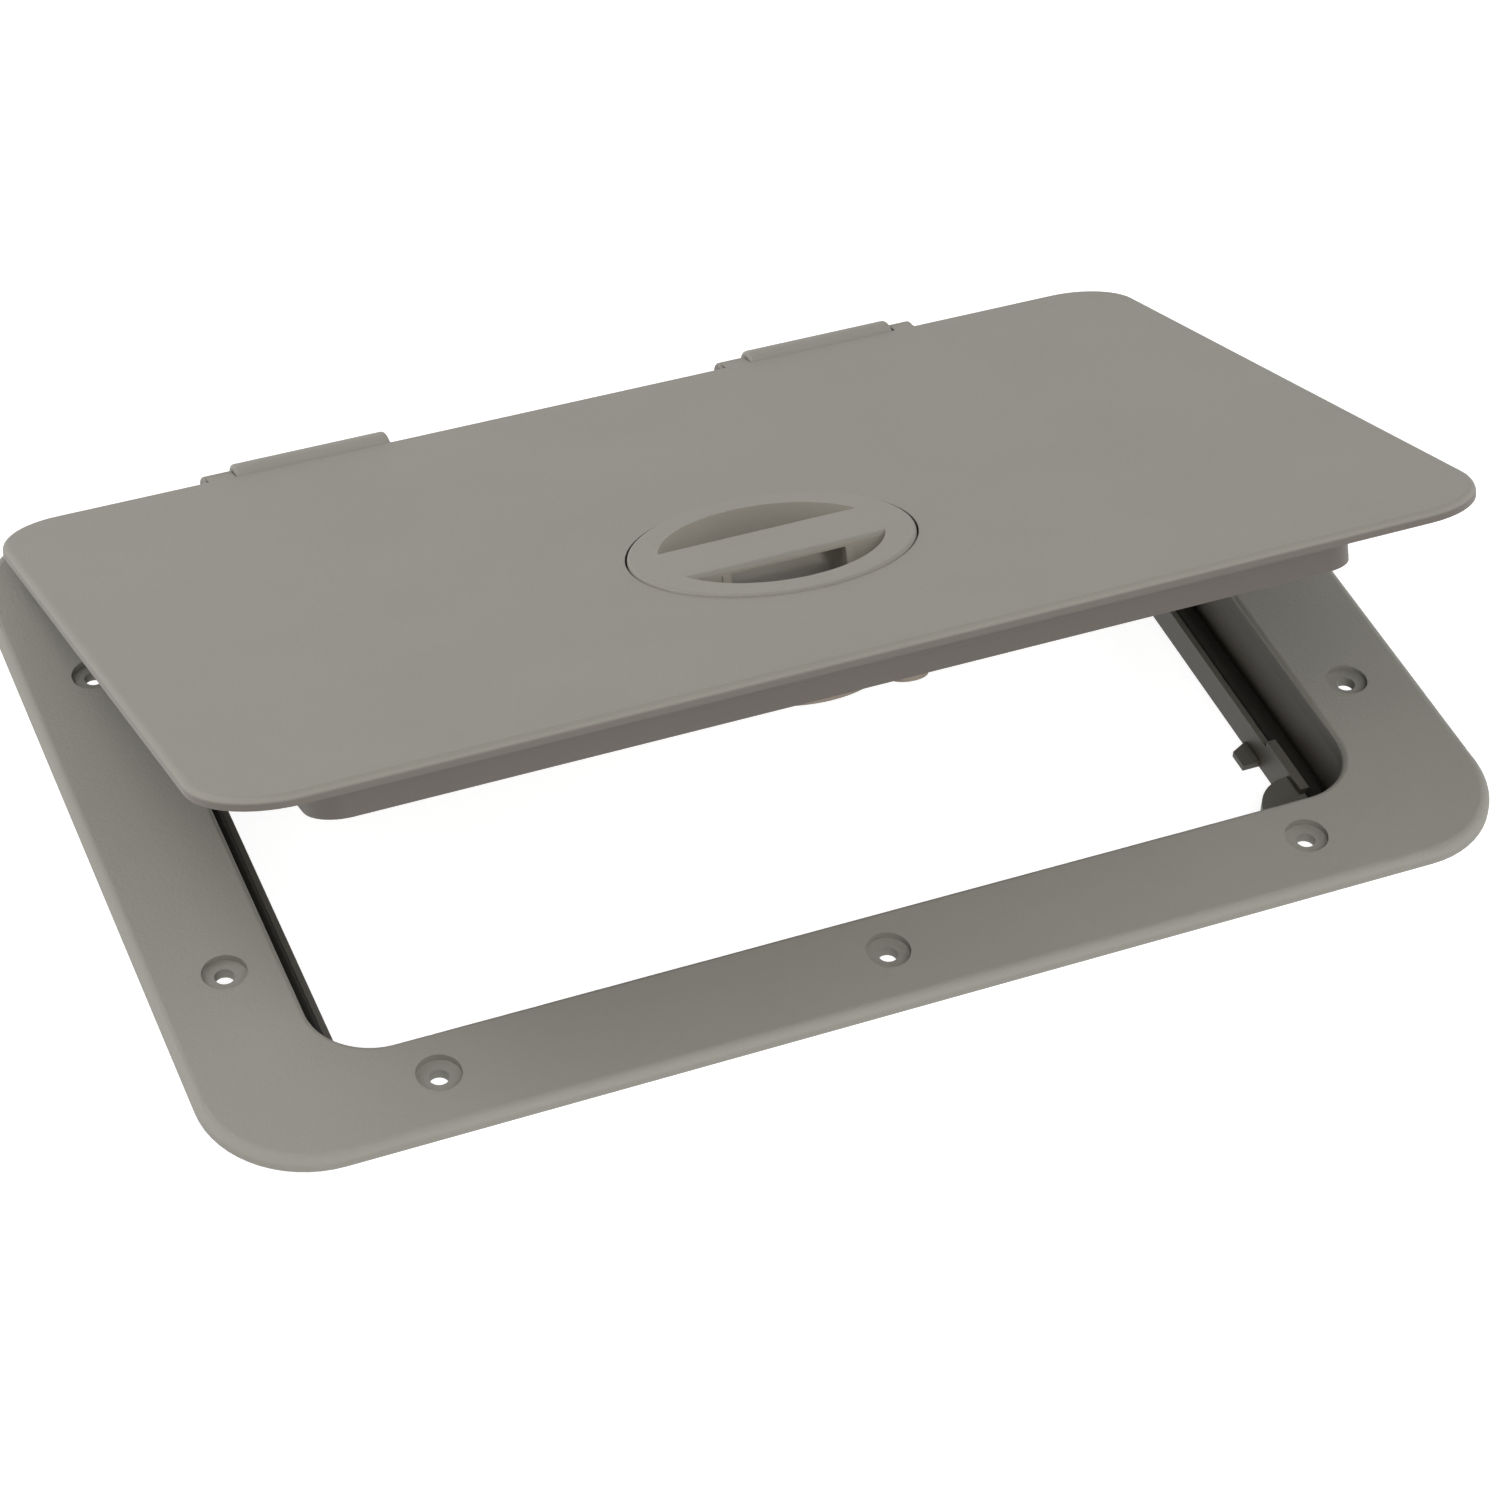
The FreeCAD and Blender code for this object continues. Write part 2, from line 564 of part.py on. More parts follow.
def make_cup_screw(x, y):
    low = CUP_FLANGE_BOTTOM_Z - CUP_SCREW_HEAD_H
    head = cylinder(CUP_SCREW_HEAD_R, low, CUP_FLANGE_BOTTOM_Z, x, y)
    head = head.makeFillet(HEAD_ROUND, edges_where(head, lambda edge: edge_is_flat_at(edge, low)))
    thread_top = LID_TOP_Z - CUP_SCREW_COVER - CUP_SCREW_CLEARANCE
    return head.fuse(cylinder(CUP_SCREW_R, CUP_FLANGE_BOTTOM_Z, thread_top, x, y))


def make_grip_bar():
    """The bar across the recess, with the window that fingers pass through below it."""
    half = BAR_W / 2
    bar = box(-RECESS_R - 1, RECESS_R + 1, -half, half, HANDLE_FLOOR_Z, HANDLE_TOP_Z)

    def is_top_edge(edge):
        return edge_is_flat_at(edge, HANDLE_TOP_Z) and edge.BoundBox.XLength > RECESS_R

    bar = bar.makeFillet(BAR_EDGE_ROUND, edges_where(bar, is_top_edge))
    window_half = WINDOW_W / 2
    jambs = []
    for side in (-1, 1):
        ends = sorted((side * window_half, side * (window_half + JAMB_W)))
        jambs.append(box(*ends, -half - JAMB_PROUD, half + JAMB_PROUD, HANDLE_FLOOR_Z, HANDLE_TOP_Z - BAR_T))
    bar = bar.fuse(jambs)
    return bar.cut(box(-window_half, window_half, -BAR_W, BAR_W, HANDLE_FLOOR_Z, HANDLE_TOP_Z - BAR_T))


def make_latch_handle():
    disc = cylinder(HANDLE_R, HANDLE_BOTTOM_Z, HANDLE_TOP_Z)
    top_edges = edges_where(disc, lambda edge: edge_is_flat_at(edge, HANDLE_TOP_Z))
    disc = disc.makeFillet(HANDLE_EDGE_ROUND, top_edges)
    recess = cylinder(RECESS_R, HANDLE_FLOOR_Z, HANDLE_TOP_Z + 1)
    handle = disc.cut(recess.cut(make_grip_bar()))
    square_half = SHANK_SQUARE / 2
    handle = handle.fuse(cylinder(SHANK_R, ARM_BOSS_TOP_Z, HANDLE_BOTTOM_Z))
    handle = handle.fuse(box(-square_half, square_half, -square_half, square_half,
                             CAM_SEAT_Z + WASHER_GAP, ARM_BOSS_TOP_Z))
    groove_z = CUP_FLOOR_TOP_Z - O_RING_FROM_FLOOR
    groove_r = SHANK_R - 2 * O_RING_SECTION_R
    groove = tube(SHANK_R + 1, groove_r, groove_z - O_RING_GROOVE_W / 2, groove_z + O_RING_GROOVE_W / 2)
    thread = cylinder(CAM_SCREW_R + CAM_SCREW_CLEARANCE, CAM_SEAT_Z, CAM_SEAT_Z + CAM_SCREW_DEPTH)
    handle = handle.cut(groove).cut(thread).removeSplitter()
    handle.translate(Vector(*LATCH_PLACE, 0))
    return handle


def make_shank_o_ring():
    center = Vector(*LATCH_PLACE, CUP_FLOOR_TOP_Z - O_RING_FROM_FLOOR)
    return Part.makeTorus(SHANK_R - O_RING_SECTION_R, O_RING_SECTION_R, center)


def make_thrust_washer():
    return tube(WASHER_R, SHANK_R + SQUARE_CLEARANCE, ARM_BOSS_TOP_Z, WASHER_TOP_Z, *LATCH_PLACE)


def make_cam_arm():
    """Modelled with the arm along +X, its place while the latch is open. The hub is off centre."""
    hub = cylinder(ARM_HUB_R, ARM_BOTTOM_Z, ARM_TOP_Z, ARM_HUB_X, ARM_HUB_Y)
    boss = cylinder(ARM_BOSS_R, ARM_TOP_Z, ARM_BOSS_TOP_Z)
    tip_x = ARM_LENGTH - ARM_TIP_R
    tip = cylinder(ARM_TIP_R, ARM_BOTTOM_Z, ARM_TOP_Z, tip_x)
    blade = box(0, tip_x, -ARM_TIP_R, ARM_TIP_R, ARM_BOTTOM_Z, ARM_TOP_Z)
    lobe = cylinder(ARM_LOBE_R, ARM_BOTTOM_Z, ARM_TOP_Z, ARM_LOBE_X, ARM_LOBE_Y)
    lobe_web = box(0, ARM_LOBE_X, ARM_LOBE_Y, 0, ARM_BOTTOM_Z, ARM_TOP_Z)
    arm = hub.fuse([boss, tip, blade, lobe, lobe_web])
    ramp_start = ARM_HUB_X + ARM_HUB_R + ARM_TIP_R
    ramp = Part.makePolygon([
        Vector(ramp_start, -ARM_TIP_R - 1, ARM_TOP_Z + 1),
        Vector(ramp_start, -ARM_TIP_R - 1, ARM_TOP_Z - ARM_RAMP),
        Vector(ramp_start, ARM_TIP_R / 2, ARM_TOP_Z),
        Vector(ramp_start, ARM_TIP_R / 2, ARM_TOP_Z + 1),
        Vector(ramp_start, -ARM_TIP_R - 1, ARM_TOP_Z + 1),
    ])
    arm = arm.cut(Part.Face(ramp).extrude(Vector(ARM_LENGTH, 0, 0)))
    square_half = SHANK_SQUARE / 2 + SQUARE_CLEARANCE
    arm = arm.cut(box(-square_half, square_half, -square_half, square_half,
                      CAM_SEAT_Z - 1, ARM_BOSS_TOP_Z + 1))
    arm = arm.cut(cylinder(CAM_RECESS_R, ARM_BOTTOM_Z - 1, CAM_SEAT_Z)).removeSplitter()
    arm.translate(Vector(*LATCH_PLACE, 0))
    return arm


def make_cam_washer():
    inner_r = CAM_SCREW_R + SQUARE_CLEARANCE
    return tube(CAM_WASHER_R, inner_r, CAM_WASHER_BOTTOM_Z, CAM_SEAT_Z, *LATCH_PLACE)


def make_cam_screw():
    low = CAM_WASHER_BOTTOM_Z - CAM_HEAD_H
    head = cylinder(CAM_HEAD_R, low, CAM_WASHER_BOTTOM_Z, *LATCH_PLACE)
    head = head.makeFillet(HEAD_ROUND, edges_where(head, lambda edge: edge_is_flat_at(edge, low)))
    tip_z = CAM_SEAT_Z + CAM_SCREW_DEPTH - WASHER_GAP
    return head.fuse(cylinder(CAM_SCREW_R, CAM_WASHER_BOTTOM_Z, tip_z, *LATCH_PLACE))


# All pieces

def build_pieces():
    pieces = {
        "frame": make_frame(),
        "frame_gasket": make_frame_gasket(),
    }
    for side, center_x in (("left", -HINGE_X), ("right", HINGE_X)):
        pieces["hinge_pin_" + side] = make_hinge_pin(side, center_x)
        pieces["pin_clip_" + side] = make_pin_clip(side)
    swinging = {
        "lid": make_lid(),
        "latch_cup": make_latch_cup(),
        "cup_seal": make_cup_seal(),
        "latch_handle": make_latch_handle(),
        "shank_o_ring": make_shank_o_ring(),
        "thrust_washer": make_thrust_washer(),
        "cam_arm": make_cam_arm(),
        "cam_washer": make_cam_washer(),
        "cam_screw": make_cam_screw(),
    }
    for index, (x, y) in enumerate(cup_screw_places()):
        swinging["cup_screw_%d" % (index + 1)] = make_cup_screw(x, y)
    for name, shape in swinging.items():
        pieces[name] = swing_open(shape)
    return pieces


os.makedirs("parts", exist_ok=True)
for name, shape in build_pieces().items():
    shape.exportStep("parts/%s.step" % name)
    print(name, len(shape.Solids), shape.isValid(), round(shape.Volume / 1000, 2))
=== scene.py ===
import json
import math

import bpy
from mathutils import Matrix, Vector

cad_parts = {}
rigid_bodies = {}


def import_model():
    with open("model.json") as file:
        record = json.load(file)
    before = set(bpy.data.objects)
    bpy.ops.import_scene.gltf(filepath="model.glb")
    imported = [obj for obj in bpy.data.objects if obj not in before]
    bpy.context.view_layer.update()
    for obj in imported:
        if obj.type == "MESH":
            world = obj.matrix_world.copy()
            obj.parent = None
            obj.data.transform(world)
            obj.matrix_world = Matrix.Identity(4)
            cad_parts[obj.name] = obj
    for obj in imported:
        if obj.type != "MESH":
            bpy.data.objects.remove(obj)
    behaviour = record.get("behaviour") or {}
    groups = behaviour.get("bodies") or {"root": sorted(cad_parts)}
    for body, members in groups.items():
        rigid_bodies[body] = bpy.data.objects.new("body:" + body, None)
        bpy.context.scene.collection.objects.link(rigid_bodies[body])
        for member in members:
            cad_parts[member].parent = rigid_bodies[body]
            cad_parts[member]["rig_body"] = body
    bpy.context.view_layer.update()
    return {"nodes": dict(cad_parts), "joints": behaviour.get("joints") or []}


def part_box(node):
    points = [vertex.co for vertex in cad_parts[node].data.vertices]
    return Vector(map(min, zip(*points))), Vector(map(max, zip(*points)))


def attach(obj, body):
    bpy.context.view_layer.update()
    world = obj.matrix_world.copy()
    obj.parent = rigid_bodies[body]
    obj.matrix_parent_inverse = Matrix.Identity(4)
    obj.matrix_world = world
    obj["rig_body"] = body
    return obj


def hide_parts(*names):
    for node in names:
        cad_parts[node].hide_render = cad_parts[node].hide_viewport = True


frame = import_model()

# Camera
# The hatch is seen from its front left and from above, with a long lens about 1.2 m away. The
# sizes of the lens and its shift are those of a 36 mm film.
camera_data = bpy.data.cameras.new("photo_camera")
camera_data.sensor_width = 36.0
camera_data.lens = 103.749
camera_data.shift_x = -0.0912
camera_data.shift_y = -0.0208
camera_data.clip_start = 0.05
camera = bpy.data.objects.new("photo_camera", camera_data)
camera.location = (-0.37084, -0.84374, 0.84532)
camera.rotation_euler = [math.radians(angle) for angle in (47.1697, -3.3131, -23.5321)]
bpy.context.scene.collection.objects.link(camera)
bpy.context.scene.camera = camera

# Frame
# The part that is screwed to the deck: a sloping flange, a wall down through the cut-out and a
# channel for the gasket. It is injection moulded in grey ASA, a plastic that stands the sun.
MM = 0.001
FRAME_GREY = "#838179"
# The darker grey is a painted shade, put on the frame's steep faces, its opening and its wall
# under the flange, where shade falls.
FRAME_PAINTED_SHADE_GREY = "#46423b"
# A real stipple is about 0.3 mm wide. It is drawn coarser, so that it shows.
GRAIN_WIDTH = 1.1 * MM
GRAIN_DEPTH = 0.14 * MM
FLOW_MARK_WIDTH = 45 * MM
FLOW_MARK_TONE = 0.04
POLISHED_ROUGHNESS = 0.48
STIPPLED_ROUGHNESS = 0.62
# The share of a face's normal that points up, where a face counts as steep and as level.
STEEP = 0.1
LEVEL = 0.5
# The share of the outside's texture and colour that level inner faces have, and the frame's steep
# outer ones. Their colour is painted light and shade: lighter on level inner faces, darker on
# steep outer ones.
INSIDE_SHARE = 0.45
FRAME_STEEP_SHARE = 0.8
# The heights from the deck between which the texture and the lighter colour of the frame's outside
# start. Below them the frame's wall has the painted shade.
FRAME_OUTSIDE_FROM = -1.5 * MM
FRAME_OUTSIDE_TO = -0.5 * MM
# Half the length and the width of the opening, whose walls have no texture and have the painted
# shade.
OPENING_HALF = (154.7 * MM, 101.75 * MM)
TEXTURE_EDGE = 0.3 * MM


def linear(hex_colour):
    """A colour such as "#8a867c" as the linear RGBA that a shader takes."""
    channels = [int(hex_colour[i:i + 2], 16) / 255 for i in (1, 3, 5)]
    return [c / 12.92 if c <= 0.04045 else ((c + 0.055) / 1.055) ** 2.4 for c in channels] + [1.0]


def new_material(name):
    """An empty node material; returns the material and its node tree."""
    material = bpy.data.materials.new(name)
    material.use_nodes = True
    material.node_tree.nodes.clear()
    return material, material.node_tree


def add(tree, kind, settings=None, links=None, values=None):
    """Adds a node with its settings, its incoming links and its values."""
    node = tree.nodes.new(kind)
    for name, value in (settings or {}).items():
        setattr(node, name, value)
    for name, source in (links or {}).items():
        tree.links.new(source, node.inputs[name])
    for name, value in (values or {}).items():
        node.inputs[name].default_value = value
    return node


def moulded_asa(name, outside, inside, up, inside_height, outside_height,
                steep_share=0.0, opening=None):
    """Grey ASA from a steel mould. Above a height along up the mould is textured by spark erosion,
    which leaves a matt stipple. Below it, on steep faces, which have to slide out of the mould,
    and on the walls of the opening, the steel is polished, so that the plastic is smoother and a
    little glossier. The colours are painted light and shade: faces that point up above the height
    get the outside colour; steep faces, and faces below it, get the inside colour, a painted shade
    on the frame and the lid and a painted light on the handle; level faces below it get part of
    the outside colour, a painted light on faces that point up. Faint flow marks run through all of
    it."""
    material, tree = new_material(name)
    coordinates = add(tree, "ShaderNodeTexCoord").outputs
    place = coordinates["Object"]
    height = add(tree, "ShaderNodeVectorMath", {"operation": "DOT_PRODUCT"}, {0: place}, {1: up})
    outer = add(tree, "ShaderNodeMapRange", {"interpolation_type": "SMOOTHSTEP"},
                {"Value": height.outputs["Value"]},
                {"From Min": inside_height, "From Max": outside_height}).outputs["Result"]
    steep_outer = outer
    if opening:
        size = add(tree, "ShaderNodeVectorMath", {"operation": "ABSOLUTE"}, {0: place})
        past = add(tree, "ShaderNodeVectorMath", {"operation": "SUBTRACT"},
                   {0: size.outputs["Vector"]}, {1: (opening[0], opening[1], 0)})
        sides = add(tree, "ShaderNodeSeparateXYZ", links={0: past.outputs["Vector"]})
        beyond = add(tree, "ShaderNodeMath", {"operation": "MAXIMUM"},
                     {0: sides.outputs["X"], 1: sides.outputs["Y"]})
        around = add(tree, "ShaderNodeMapRange", {"interpolation_type": "SMOOTHSTEP"},
                     {"Value": beyond.outputs["Value"]},
                     {"From Min": -TEXTURE_EDGE, "From Max": TEXTURE_EDGE})
        steep_outer = add(tree, "ShaderNodeMath", {"operation": "MULTIPLY"},
                          {0: outer, 1: around.outputs["Result"]}).outputs["Value"]
    slope = add(tree, "ShaderNodeVectorMath", {"operation": "DOT_PRODUCT"},
                {0: coordinates["Normal"]}, {1: up})
    on_steep = add(tree, "ShaderNodeMath", {"operation": "MULTIPLY"}, {0: steep_outer},
                   {1: steep_share})
    on_level = add(tree, "ShaderNodeMapRange", links={"Value": outer},
                   values={"To Min": INSIDE_SHARE})
    eroded_and_painted_light = add(tree, "ShaderNodeMapRange", {"interpolation_type": "SMOOTHSTEP"},
                 {"Value": slope.outputs["Value"], "To Min": on_steep.outputs["Value"],
                  "To Max": on_level.outputs["Result"]},
                 {"From Min": STEEP, "From Max": LEVEL}).outputs["Result"]
    # The tone is painted light and shade: the outside colour on faces that point up, the inside
    # colour on steep and hidden faces.
    tone = add(tree, "ShaderNodeMix", {"data_type": "RGBA"}, {"Factor": eroded_and_painted_light},
               {"A": linear(inside), "B": linear(outside)})
    flow = add(tree, "ShaderNodeTexNoise", links={"Vector": place},
               values={"Scale": 1 / FLOW_MARK_WIDTH, "Detail": 3.0})
    flow_tone = add(tree, "ShaderNodeMapRange", links={"Value": flow.outputs["Fac"]},
                    values={"To Min": 1 - FLOW_MARK_TONE, "To Max": 1 + FLOW_MARK_TONE})
    colour = add(tree, "ShaderNodeVectorMath", {"operation": "SCALE"},
                 {0: tone.outputs["Result"], "Scale": flow_tone.outputs["Result"]})
    grain = add(tree, "ShaderNodeTexNoise", links={"Vector": place},
                values={"Scale": 1 / GRAIN_WIDTH, "Detail": 2.0, "Roughness": 0.6})
    stipple = add(tree, "ShaderNodeBump",
                  links={"Height": grain.outputs["Fac"], "Strength": eroded_and_painted_light},
                  values={"Distance": GRAIN_DEPTH})
    matt = add(tree, "ShaderNodeMapRange", links={"Value": eroded_and_painted_light},
               values={"To Min": POLISHED_ROUGHNESS, "To Max": STIPPLED_ROUGHNESS})
    shader = add(tree, "ShaderNodeBsdfPrincipled",
                 links={"Base Color": colour.outputs["Vector"],
                        "Normal": stipple.outputs["Normal"],
                        "Roughness": matt.outputs["Result"]},
                 values={"IOR": 1.5, "Specular IOR Level": 0.4})
    add(tree, "ShaderNodeOutputMaterial", links={"Surface": shader.outputs["BSDF"]})
    return material


def give(node, material):
    """Puts one material on a whole CAD node."""
    mesh = frame["nodes"][node].data
    mesh.materials.clear()
    mesh.materials.append(material)


give("frame", moulded_asa("asa_grey_frame", FRAME_GREY, FRAME_PAINTED_SHADE_GREY, (0, 0, 1),
                          FRAME_OUTSIDE_FROM, FRAME_OUTSIDE_TO,
                          FRAME_STEEP_SHARE, OPENING_HALF))

# Frame gasket
# A soft black EPDM rubber section, extruded, cut to length and pressed into the frame's channel.
# The lid's skirt closes on it. Its matt skin has a faint grey bloom.
RUBBER_BLACK = "#181815"
RUBBER_BLOOM = "#25241f"
RUBBER_BLOOM_WIDTH = 3.0 * MM
RUBBER_SKIN_DEPTH = 0.08 * MM

epdm_rubber, tree = new_material("epdm_rubber_black")
place = add(tree, "ShaderNodeTexCoord").outputs["Object"]
bloom = add(tree, "ShaderNodeTexNoise", links={"Vector": place},
            values={"Scale": 1 / RUBBER_BLOOM_WIDTH, "Detail": 4.0})
tone = add(tree, "ShaderNodeMix", {"data_type": "RGBA"}, {"Factor": bloom.outputs["Fac"]},
           {"A": linear(RUBBER_BLACK), "B": linear(RUBBER_BLOOM)})
skin = add(tree, "ShaderNodeBump", links={"Height": bloom.outputs["Fac"]},
           values={"Distance": RUBBER_SKIN_DEPTH})
shader = add(tree, "ShaderNodeBsdfPrincipled",
             links={"Base Color": tone.outputs["Result"], "Normal": skin.outputs["Normal"]},
             values={"Roughness": 0.7, "IOR": 1.52, "Specular IOR Level": 0.3})
add(tree, "ShaderNodeOutputMaterial", links={"Surface": shader.outputs["BSDF"]})
give("frame_gasket", epdm_rubber)

# Lid
# One ASA moulding: the panel with its rounded edge, the skirt and the ribs under it, the ears of
# the hinge and the ring that carries the latch. Only its outside is textured. Its skirt, edges
# and underside have a painted shade.
LID_GREY = "#7d7a72"
# The darker grey is a painted shade, put on the lid's skirt, its edges and its underside, where
# shade falls.
LID_PAINTED_SHADE_GREY = "#5c5650"
LID_T = 3.4 * MM

latch_joint = next(joint for joint in frame["joints"] if joint["name"] == "handle_turn")
LID_UP = -Vector(latch_joint["axis"])


def span_along(node, direction):
    """How low and how high a CAD node reaches along a direction."""
    reach = [vertex.co.dot(direction) for vertex in frame["nodes"][node].data.vertices]
    return min(reach), max(reach)


lid_under = span_along("lid", LID_UP)[1] - LID_T
give("lid", moulded_asa("asa_grey_lid", LID_GREY, LID_PAINTED_SHADE_GREY, LID_UP,
                        lid_under - TEXTURE_EDGE, lid_under + TEXTURE_EDGE))

# Hinge pins
# Two straight lengths of drawn stainless steel rod, pushed through the blocks of the frame and the
# ears of the lid from the right.
PIN_STEEL = "#c6c4bf"
PIN_ROUGHNESS = (0.25, 0.45)
# The real marks are a few hundredths of a millimetre wide. They are drawn coarser, so that they
# show.
DRAWING_MARK = 0.3 * MM


def stainless_steel(name, colour, along, roughness):
    """Stainless steel with the fine rings that a die or a lathe leaves across its axis. They make
    its mirror a little streaky and blurred."""
    material, tree = new_material(name)
    place = add(tree, "ShaderNodeTexCoord").outputs["Object"]
    length = add(tree, "ShaderNodeVectorMath", {"operation": "DOT_PRODUCT"}, {0: place},
                 {1: along})
    rings = add(tree, "ShaderNodeTexNoise", {"noise_dimensions": "1D"},
                {"W": length.outputs["Value"]}, {"Scale": 1 / DRAWING_MARK, "Detail": 2.0})
    gloss = add(tree, "ShaderNodeMapRange", links={"Value": rings.outputs["Fac"]},
                values={"To Min": roughness[0], "To Max": roughness[1]})
    shader = add(tree, "ShaderNodeBsdfPrincipled", links={"Roughness": gloss.outputs["Result"]},
                 values={"Base Color": linear(colour), "Metallic": 1.0})
    add(tree, "ShaderNodeOutputMaterial", links={"Surface": shader.outputs["BSDF"]})
    return material


drawn_steel = stainless_steel("stainless_steel_drawn", PIN_STEEL, (1, 0, 0), PIN_ROUGHNESS)
give("hinge_pin_left", drawn_steel)
give("hinge_pin_right", drawn_steel)

# Pin rings
# A push-on ring stamped from stainless steel sheet sits near the right end of each hinge pin. The
# slots from its bore leave tongues that bite into the rod.
RING_BORE_R = 1.6 * MM
RING_SLOT_REACH = 2.4 * MM
RING_SLOT_W = 0.45 * MM
RING_SLOTS = 6
RING_EDGE_ROUND = 0.12 * MM
RING_STEPS = 72
# A normal's share along Z, past which a face counts as facing that way.
FACING = 0.9
SAME_PLACE = 0.01 * MM
SMOOTH_BELOW = math.radians(35)


def deselect():
    bpy.ops.object.select_all(action="DESELECT")


def make_active(made):
    """Selects one object alone and makes it the active one."""
    deselect()
    made.select_set(True)
    bpy.context.view_layer.objects.active = made


def select_in_mesh(made, part, test):
    """Goes into edit mode with only the faces or edges selected that pass a test."""
    mode = {"polygons": "FACE", "edges": "EDGE"}[part]
    bpy.ops.object.mode_set(mode="EDIT")
    bpy.ops.mesh.select_mode(type=mode)
    bpy.ops.mesh.select_all(action="DESELECT")
    bpy.ops.object.mode_set(mode="OBJECT")
    for item in getattr(made.data, part):
        item.select = test(item)
    bpy.ops.object.mode_set(mode="EDIT")


def rim_at(made, z, radius):
    """A test for the edges of the circle of this radius at this height."""
    def test(edge):
        ends = [made.data.vertices[index].co for index in edge.vertices]
        return all(abs(end.z - z) < SAME_PLACE and abs(end.xy.length - radius) < SAME_PLACE
                   for end in ends)
    return test


def cut_with(made, cutter):
    """Takes one shape out of another and deletes the cutter."""
    cut = made.modifiers.new("cut", "BOOLEAN")
    cut.operation = "DIFFERENCE"
    cut.solver = "EXACT"
    cut.object = cutter
    make_active(made)
    bpy.ops.object.modifier_apply(modifier=cut.name)
    bpy.data.objects.remove(cutter)


def cross_bars(count, length, width, low, high, taper):
    """Flat bars through one point, evenly turned about +Z, narrower at the top by the taper."""
    bars = []
    for index in range(count):
        deselect()
        bpy.ops.mesh.primitive_cube_add(size=1, location=(0, 0, (low + high) / 2))
        bar = bpy.context.object
        bar.scale = (length, width, high - low)
        bar.rotation_euler = (0, 0, math.pi * index / count)
        bpy.ops.object.transform_apply(location=True, rotation=True, scale=True)
        select_in_mesh(bar, "polygons", lambda face: face.normal.z > FACING)
        bpy.ops.transform.resize(value=(taper, taper, 1))
        bpy.ops.object.mode_set(mode="OBJECT")
        bars.append(bar)
    return bars


def place_on(made, node, x_axis, y_axis, z_axis, origin):
    """Moves a piece from the origin to its place, names it, and lets it stand for its CAD node."""
    turn = Matrix((x_axis, y_axis, z_axis)).transposed().to_4x4()
    made.matrix_world = Matrix.Translation(origin) @ turn
    make_active(made)
    bpy.ops.object.transform_apply(location=True, rotation=True, scale=True)
    made.name = node + "_detailed"
    bpy.ops.object.shade_smooth_by_angle(angle=SMOOTH_BELOW)
    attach(made, frame["nodes"][node]["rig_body"])
    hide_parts(node)


for node in ("pin_clip_left", "pin_clip_right"):
    low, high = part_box(node)
    thickness = high.x - low.x
    radius = (high.y - low.y) / 2
    deselect()
    bpy.ops.mesh.primitive_cylinder_add(vertices=RING_STEPS, radius=radius, depth=thickness)
    ring = bpy.context.object
    select_in_mesh(ring, "polygons", lambda face: abs(face.normal.z) > FACING)
    bpy.ops.mesh.inset(thickness=radius - RING_BORE_R, use_boundary=True)
    bpy.ops.mesh.bridge_edge_loops()
    bpy.ops.object.mode_set(mode="OBJECT")
    for face_z in (-thickness / 2, thickness / 2):
        select_in_mesh(ring, "edges", rim_at(ring, face_z, radius))
        bpy.ops.mesh.bevel(offset=RING_EDGE_ROUND, segments=2)
        bpy.ops.object.mode_set(mode="OBJECT")
    for slot in cross_bars(RING_SLOTS // 2, 2 * RING_SLOT_REACH, RING_SLOT_W,
                           -thickness, thickness, 1.0):
        cut_with(ring, slot)
    ring.data.materials.append(drawn_steel)
    place_on(ring, node, Vector((0, 1, 0)), Vector((0, 0, 1)), Vector((1, 0, 0)),
             (low + high) / 2)

# Latch cup
# The round cup that the handle turns in. It is moulded in glass filled nylon, which takes the
# load of the cam. The glass shows as a faint cloud in a semi matt skin.
NYLON_BROWN = "#83776a"
NYLON_PALE_BROWN = "#918576"
GLASS_CLOUD_WIDTH = 6.0 * MM
# The real grain is about 0.1 mm wide. It is drawn coarser, so that it shows.
NYLON_GRAIN_WIDTH = 0.5 * MM
NYLON_GRAIN_DEPTH = 0.02 * MM

glass_nylon, tree = new_material("glass_filled_nylon_moulded")
place = add(tree, "ShaderNodeTexCoord").outputs["Object"]
cloud = add(tree, "ShaderNodeTexNoise", links={"Vector": place},
            values={"Scale": 1 / GLASS_CLOUD_WIDTH, "Detail": 5.0, "Distortion": 0.6})
tone = add(tree, "ShaderNodeMix", {"data_type": "RGBA"}, {"Factor": cloud.outputs["Fac"]},
           {"A": linear(NYLON_BROWN), "B": linear(NYLON_PALE_BROWN)})
grain = add(tree, "ShaderNodeTexNoise", links={"Vector": place},
            values={"Scale": 1 / NYLON_GRAIN_WIDTH})
skin = add(tree, "ShaderNodeBump", links={"Height": grain.outputs["Fac"]},
           values={"Distance": NYLON_GRAIN_DEPTH})
shader = add(tree, "ShaderNodeBsdfPrincipled",
             links={"Base Color": tone.outputs["Result"], "Normal": skin.outputs["Normal"]},
             values={"Roughness": 0.5, "IOR": 1.53})
add(tree, "ShaderNodeOutputMaterial", links={"Surface": shader.outputs["BSDF"]})
give("latch_cup", glass_nylon)

# Cup seal
# A flat washer between the cup's flange and the ring under the lid. It is punched from a sheet of
# the same black EPDM as the gasket, and the four cup screws press it.
give("cup_seal", epdm_rubber)

# Cup screws
# Four pan head screws of turned stainless steel. They pass up through the cup's flange and its
# seal and cut their own thread in the ring under the lid. Each head has a cross recess.
SCREW_STEEL = "#cbc9c4"
SCREW_ROUGHNESS = (0.2, 0.4)
CUP_HEAD_H = 2.2 * MM
CUP_SHANK_R = 1.75 * MM
CUP_THREAD_PITCH = 1.3 * MM
